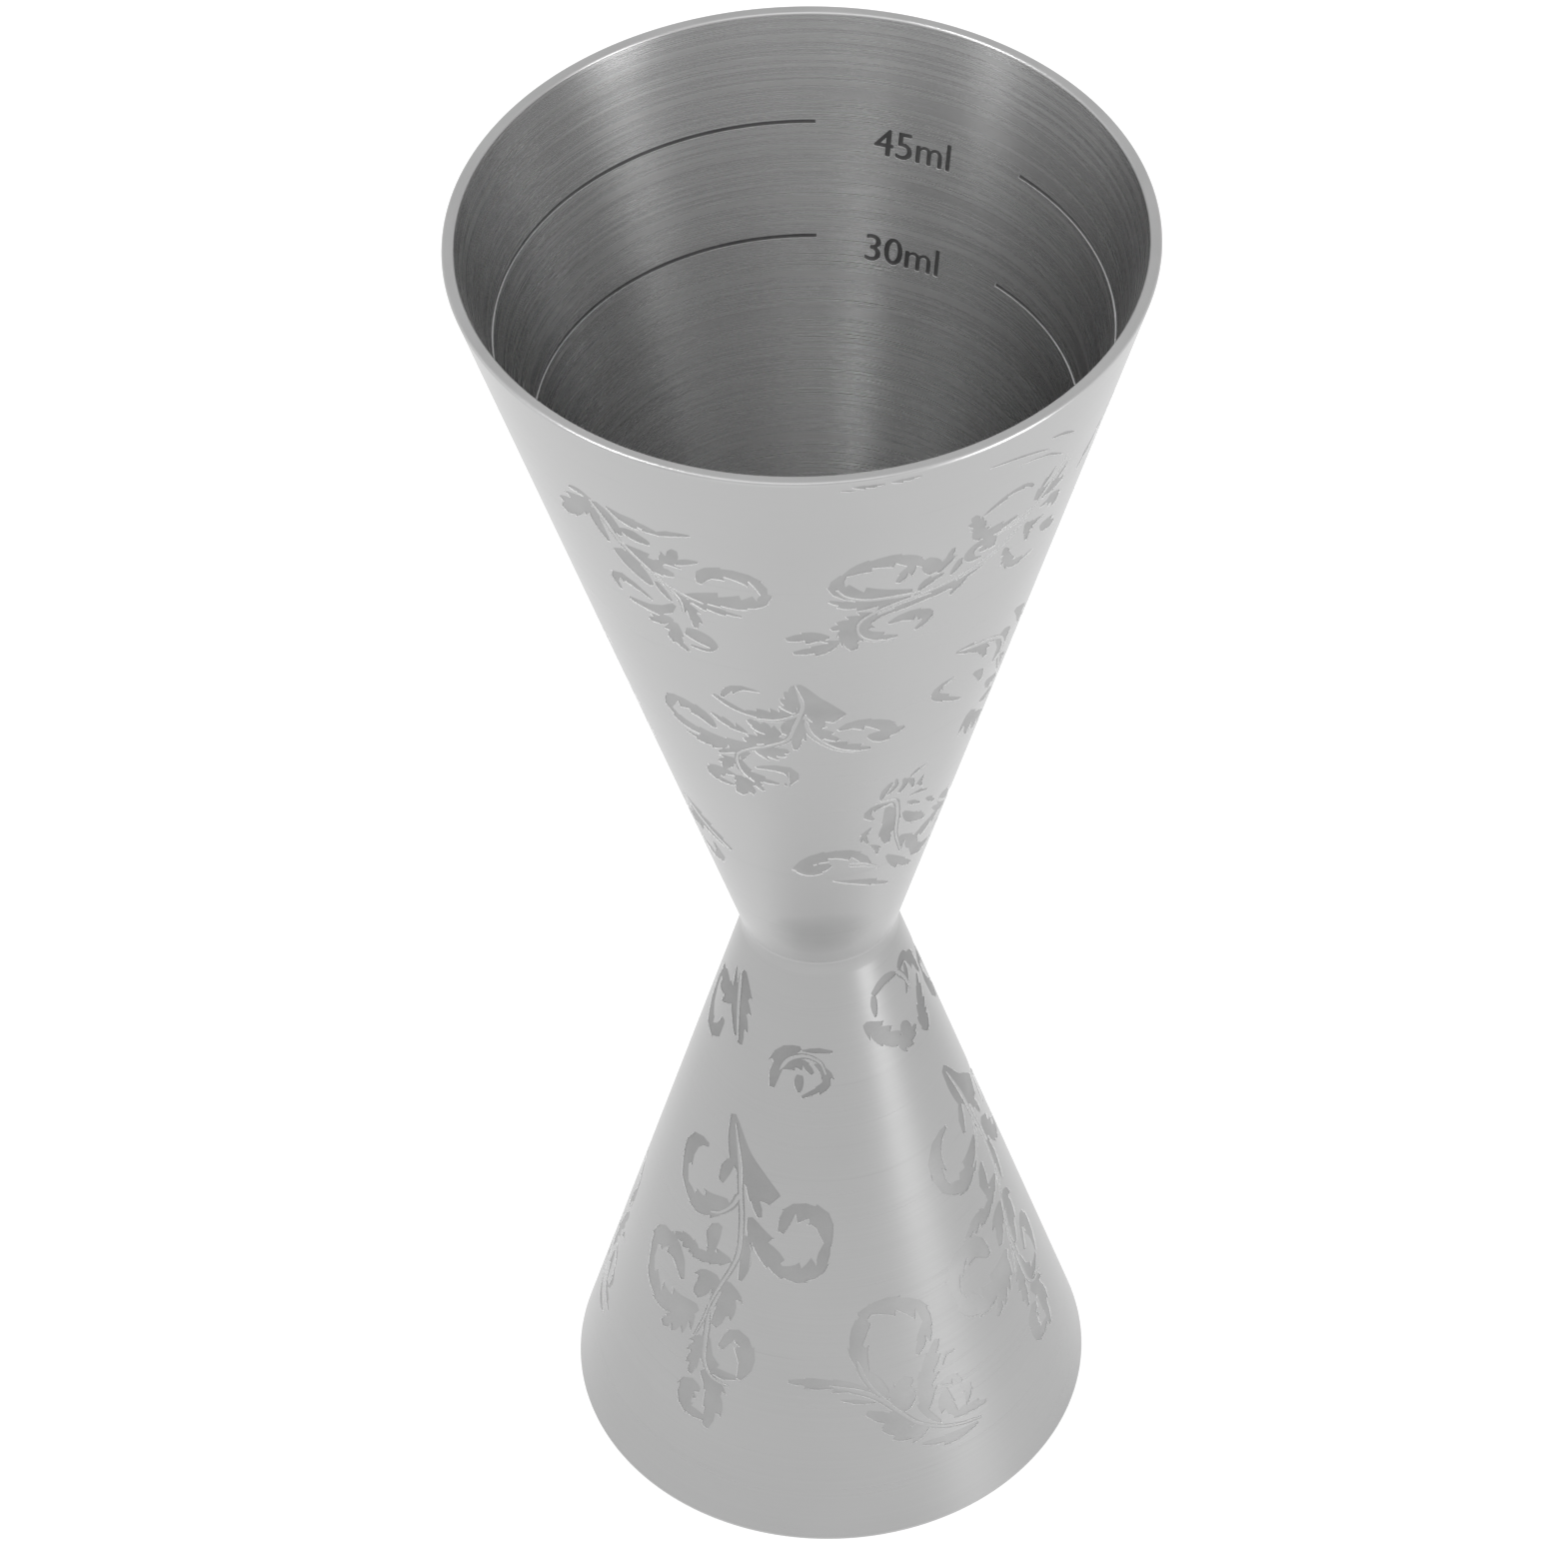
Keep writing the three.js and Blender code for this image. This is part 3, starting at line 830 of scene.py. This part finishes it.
# object coordinates squeezed into (across, across, along the axis)
def stretched(tree, across, along):
    pairs = zip(alongAxes(tree, objectSpot(tree)), (across, across, along))
    parts = [mathNode(tree, "MULTIPLY", axis, scale) for axis, scale in pairs]
    return addNode(tree, "ShaderNodeCombineXYZ", dict(enumerate(parts))).outputs[0]


# a grey between two tones, tinted
def toneMix(tree, factor, tones, tint=(1, 1, 1)):
    mix = addNode(tree, "ShaderNodeMix", {"Factor": factor}, data_type="RGBA", clamp_factor=True)
    for socket, tone in zip((mix.inputs[6], mix.inputs[7]), tones):
        socket.default_value = [tone * share for share in tint] + [1]
    return mix.outputs[2]


# fine rings left by the lathe and the polishing belt, broken up along their length
def latheRings():
    sockets = [("Rings per metre", 3000), ("Breaks per metre", 70)]
    tree, given, result = effectGroup("latheRings", sockets, "Rings")
    spot = stretched(tree, given.outputs[1], given.outputs[0])
    noise = addNode(tree, "ShaderNodeTexNoise", {"Vector": spot, "Scale": 1, "Detail": 3, "Roughness": 0.65})
    tree.links.new(remap(tree, noise.outputs[0], 0, 1, 0.25, 0.75), result.inputs[0])
    return tree


# wide and soft unevenness in the polish
def softClouds():
    tree, given, result = effectGroup("softClouds", [("Clouds per metre", 40)], "Clouds")
    spot = objectSpot(tree)
    noise = addNode(tree, "ShaderNodeTexNoise", {"Vector": spot, "Scale": given.outputs[0], "Detail": 2})
    tree.links.new(remap(tree, noise.outputs[0], 0, 1, 0.3, 0.7), result.inputs[0])
    return tree


# pits are this much coarser than the fine grain, and each adds its share
grain = {"coarse": 0.4, "fineShare": 0.7, "pitShare": 0.4}


# the frosted grain of an etched or engraved bottom
def etchGrain():
    tree, given, result = effectGroup("etchGrain", [("Grains per metre", 9000)], "Grain")
    spot = objectSpot(tree)
    noise = addNode(tree, "ShaderNodeTexNoise", {"Vector": spot, "Scale": given.outputs[0], "Detail": 4})
    coarse = mathNode(tree, "MULTIPLY", given.outputs[0], grain["coarse"])
    pits = addNode(tree, "ShaderNodeTexVoronoi", {"Vector": spot, "Scale": coarse}).outputs[0]
    fine = mathNode(tree, "MULTIPLY", noise.outputs[0], grain["fineShare"])
    both = mathNode(tree, "ADD", fine, mathNode(tree, "MULTIPLY", pits, grain["pitShare"]))
    tree.links.new(both, result.inputs[0])
    return tree


# the lines lie where a stretched noise is near one level
hair = {"level": 0.66, "halfWidth": 0.012, "slant": 0.12}


# a few hair-thin scratches from handling and stirring
def hairScratches():
    sockets = [("Lines per metre", 900), ("Run per metre", 14)]
    tree, given, result = effectGroup("hairScratches", sockets, "Scratches")
    spot = stretched(tree, given.outputs[1], given.outputs[0])
    slant = {"Vector": spot, "Angle": hair["slant"]}
    turned = addNode(tree, "ShaderNodeVectorRotate", slant, rotation_type="X_AXIS").outputs[0]
    lines = addNode(tree, "ShaderNodeTexNoise", {"Vector": turned, "Scale": 1, "Detail": 1}).outputs[0]
    near = mathNode(tree, "ABSOLUTE", mathNode(tree, "SUBTRACT", lines, hair["level"]))
    tree.links.new(remap(tree, near, 1, 0, 0, hair["halfWidth"]), result.inputs[0])
    return tree


# how near a spot is to the waist, for the light and shade painted there: lighter on the upper cup, darker on
# the lower
def paintedWaistShading():
    sockets = [("Waist height", joint["height"]), ("Reach", 35 * mm)]
    tree, given, result = effectGroup("paintedWaistShading", sockets, "Waist shading")
    up = alongAxes(tree, objectSpot(tree))[2]
    away = mathNode(tree, "ABSOLUTE", mathNode(tree, "SUBTRACT", up, given.outputs[0]))
    tree.links.new(remap(tree, away, 1, 0, 0, given.outputs[1]), result.inputs[0])
    return tree


# how uneven the edge of the painted dark reflection at the front of the waist is
shadePatches = {"perMetre": 420, "uneven": 0.35, "softEdge": 0.1}


# painted shade: a soft dark oval at the front of the waist, the painted reflection of the lower cup
def frontWaistShade():
    sockets = [("Height", 58.8 * mm), ("Half width", 4.2 * mm), ("Half height", 3.3 * mm)]
    tree, given, result = effectGroup("frontWaistShade", sockets, "Front shade")
    spot = objectSpot(tree)
    right, back, up = alongAxes(tree, spot)
    across = mathNode(tree, "DIVIDE", right, given.outputs[1])
    rise = mathNode(tree, "DIVIDE", mathNode(tree, "SUBTRACT", up, given.outputs[0]), given.outputs[2])
    square = mathNode(tree, "ADD", mathNode(tree, "POWER", across, 2), mathNode(tree, "POWER", rise, 2))
    patches = {"Vector": spot, "Scale": shadePatches["perMetre"], "Detail": 3}
    noise = addNode(tree, "ShaderNodeTexNoise", patches).outputs[0]
    uneven = remap(tree, noise, -shadePatches["uneven"], shadePatches["uneven"])
    oval = remap(tree, mathNode(tree, "ADD", square, uneven), 1, 0, shadePatches["softEdge"], 1)
    front = mathNode(tree, "LESS_THAN", back, 0)
    tree.links.new(mathNode(tree, "MULTIPLY", oval, front), result.inputs[0])
    return tree


effects = {"rings": latheRings(), "clouds": softClouds(), "grain": etchGrain(), "scratches": hairScratches(),
           "waistShading": paintedWaistShading(), "frontShade": frontWaistShade()}

brushing = {"rotation": 0.25, "bumpDistance": 0.05 * mm}

# tone is the range of the base colour from dark to light, shade the part of it in use; rings, breaks, clouds
# and grain are per metre, and the scratch, waist and front amounts say how much each effect adds or takes
# away: the waist amount paints light (plus) and shade (minus) near the waist, the front amount a dark
# reflection at its front
finishes = {
    "satinSteel": {"tone": (0.32, 0.5), "shade": (0.46, 0.62), "roughness": (0.27, 0.33), "anisotropic": 0.45,
                   "rings": 7000, "breaks": 45, "clouds": 45, "scratch": 0.1, "bump": 0.02, "waistShading": 0.08,
                   "frontShade": 0.32},
    # the lower cup's copy of the same satin steel, painted a shade darker than the upper cup's: painted shade
    "shadedFootSteel": {"tone": (0.288, 0.452), "shade": (0.44, 0.62), "roughness": (0.27, 0.31),
                  "anisotropic": 0.45, "rings": 7000, "breaks": 30, "clouds": 75, "scratch": 0.1,
                  "bump": 0.008, "waistShading": -0.08},
    "etchedSteel": {"tone": (0.31, 0.4), "roughness": (0.46, 0.6), "anisotropic": 0.0, "grain": 9000,
                    "clouds": 260, "bump": 0.1},
    "footEtchedSteel": {"tone": (0.25, 0.405), "shade": (0.3, 0.95), "roughness": (0.46, 0.6),
                        "anisotropic": 0.0, "grain": 9000, "clouds": 200, "bump": 0.08, "waistShading": -0.7},
    # the side walls of marks are painted near white: a painted highlight along edges that catch the light
    "highlightEdgeSteel": {"tone": (0.84, 0.94), "roughness": (0.6, 0.8), "anisotropic": 0.0, "grain": 9000,
                  "clouds": 300, "bump": 0.04},
    "turnedSteel": {"tone": (0.49, 0.58), "roughness": (0.22, 0.32), "anisotropic": 0.6, "rings": 4200,
                    "breaks": 16, "clouds": 60, "scratch": -0.6, "bump": 0.05},
    "lipSteel": {"tone": (0.41, 0.48), "roughness": (0.3, 0.38), "anisotropic": 0.2, "rings": 9000,
                 "breaks": 200, "clouds": 120, "scratch": 0.5, "bump": 0.02},
    "engravedSteel": {"tone": (0.09, 0.15), "roughness": (0.42, 0.58), "anisotropic": 0.0, "grain": 14000,
                      "clouds": 300, "bump": 0.1},
    "weldSteel": {"tone": (0.28, 0.42), "shade": (0.46, 0.62), "roughness": (0.27, 0.33), "anisotropic": 0.45,
                  "rings": 7000, "breaks": 60, "clouds": 300, "scratch": 0.1, "bump": 0.01, "waistShading": 0.1,
                  "frontShade": 0.1},
    "brazeAlloy": {"tone": (0.3, 0.42), "roughness": (0.45, 0.7), "anisotropic": 0.0, "grain": 3000,
                   "clouds": 400, "bump": 0.3, "tint": (1, 0.95, 0.8)},
}


def steelFinish(name):
    finish = finishes[name]
    material = bpy.data.materials.new(name)
    material.use_nodes = True
    tree = material.node_tree
    shader = tree.nodes["Principled BSDF"]
    shader.inputs["Metallic"].default_value = 1
    shader.inputs["Anisotropic"].default_value = finish["anisotropic"]
    shader.inputs["Anisotropic Rotation"].default_value = brushing["rotation"]

    def effect(kind, *values):
        node = addNode(tree, "ShaderNodeGroup", node_tree=effects[kind])
        for socket, value in zip(node.inputs, values):
            socket.default_value = value
        return node.outputs[0]

    if "grain" in finish:
        texture = effect("grain", finish["grain"])
    else:
        texture = effect("rings", finish["rings"], finish["breaks"])
    clouds = effect("clouds", finish["clouds"])
    shade = remap(tree, mathNode(tree, "ADD", texture, clouds), *finish.get("shade", (0, 1)), 0, 2)
    # the scratches are real marks; near the waist light and shade are painted, and at its front a dark
    # reflection
    for kind, key, operation in (("scratches", "scratch", "SUBTRACT"), ("waistShading", "waistShading", "ADD"),
                                 ("frontShade", "frontShade", "SUBTRACT")):
        if key in finish:
            amount = mathNode(tree, "MULTIPLY", effect(kind), finish[key])
            shade = mathNode(tree, operation, shade, amount)
    colour = toneMix(tree, shade, finish["tone"], finish.get("tint", (1, 1, 1)))
    tree.links.new(colour, shader.inputs["Base Color"])
    tree.links.new(remap(tree, texture, *finish["roughness"]), shader.inputs["Roughness"])
    relief = {"Strength": finish["bump"], "Distance": brushing["bumpDistance"], "Height": texture}
    tree.links.new(addNode(tree, "ShaderNodeBump", relief).outputs[0], shader.inputs["Normal"])
    return material


shared = [steelFinish(name) for name in ("turnedSteel", "lipSteel", "engravedSteel", "highlightEdgeSteel")]
for piece, own in ((largeCup, ("satinSteel", "etchedSteel")), (smallCup, ("shadedFootSteel", "footEtchedSteel"))):
    for material in [steelFinish(name) for name in own] + shared:
        piece.data.materials.append(material)
bead.data.materials.append(steelFinish("weldSteel"))
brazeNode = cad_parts["floor_braze"]
brazeNode.data.materials.clear()
brazeNode.data.materials.append(steelFinish("brazeAlloy"))
print("finishes made")

studio = {
    "floor": 3.0,
    "floorTone": (0.3, 0.31),
    "floorClouds": 4,
    "floorRoughness": 0.9,
    "floorSpecular": 0.1,
    "floorGlow": 0.8,
    "world": 0.88,
    "aimHeight": 60 * mm,
    # azimuth and elevation in degrees of each softbox, its distance, size and strength
    "softboxes": [(58, 8, 0.9, (0.24, 0.7), 2.2), (55, 2, 0.9, (0.3, 0.16), 1.4),
                  (-68, 48, 0.9, (0.1, 0.5), 1.9), (0, 50, 1, (0.9, 0.5), 1.3),
                  (-95, 10, 1, (0.6, 0.5), 0.4)],
}


def paleFloor():
    bm = bmesh.new()
    bmesh.ops.create_grid(bm, x_segments=1, y_segments=1, size=studio["floor"])
    mesh = bpy.data.meshes.new("floor")
    bm.to_mesh(mesh)
    bm.free()
    floor = addObject("floor", mesh)
    material = bpy.data.materials.new("paleFloor")
    material.use_nodes = True
    tree = material.node_tree
    shader = tree.nodes["Principled BSDF"]
    spot = objectSpot(tree)
    clouds = {"Vector": spot, "Scale": studio["floorClouds"], "Detail": 2}
    noise = addNode(tree, "ShaderNodeTexNoise", clouds).outputs[0]
    tree.links.new(toneMix(tree, noise, studio["floorTone"]), shader.inputs["Base Color"])
    shader.inputs["Roughness"].default_value = studio["floorRoughness"]
    shader.inputs["Specular IOR Level"].default_value = studio["floorSpecular"]
    shader.inputs["Emission Color"].default_value = (1, 1, 1, 1)
    shader.inputs["Emission Strength"].default_value = studio["floorGlow"]
    mesh.materials.append(material)


def softbox(azimuth, elevation, distance, size, strength):
    light = bpy.data.lights.new("softbox", "AREA")
    light.shape = "RECTANGLE"
    light.size, light.size_y = size
    light.energy = strength
    level = Vector((math.sin(azimuth), -math.cos(azimuth), 0))
    away = level * math.cos(elevation) + Vector((0, 0, math.sin(elevation)))
    lamp = addObject("softbox", light)
    lamp.location = Vector((0, 0, studio["aimHeight"])) + away * distance
    lamp.rotation_mode = "QUATERNION"
    lamp.rotation_quaternion = away.to_track_quat("Z", "Y")


paleFloor()
for azimuth, elevation, distance, size, strength in studio["softboxes"]:
    softbox(math.radians(azimuth), math.radians(elevation), distance, size, strength)
world = bpy.data.worlds.new("studio")
world.use_nodes = True
world.node_tree.nodes["Background"].inputs["Color"].default_value = (1, 1, 1, 1)
world.node_tree.nodes["Background"].inputs["Strength"].default_value = studio["world"]
bpy.context.scene.world = world
bpy.context.scene.view_settings.view_transform = "Standard"
print("studio lit")

cameraSettings = {"distance": 585.3 * mm, "elevation": 45.99, "roll": -1.525, "lens": 170.4, "sensor": 36,
                  "aimHeight": 62.5 * mm, "shift": (-0.0213, 0.0309)}


def aimCamera():
    elevation = math.radians(cameraSettings["elevation"])
    roll = math.radians(cameraSettings["roll"])
    data = bpy.data.cameras.new("camera")
    data.lens = cameraSettings["lens"]
    data.sensor_width = cameraSettings["sensor"]
    data.shift_x, data.shift_y = cameraSettings["shift"]
    camera = addObject("camera", data)
    back = Vector((0, -math.cos(elevation), math.sin(elevation)))
    camera.location = Vector((0, 0, cameraSettings["aimHeight"])) + back * cameraSettings["distance"]
    camera.rotation_mode = "QUATERNION"
    camera.rotation_quaternion = back.to_track_quat("Z", "Y") @ Matrix.Rotation(roll, 3, "Z").to_quaternion()
    bpy.context.scene.camera = camera


aimCamera()
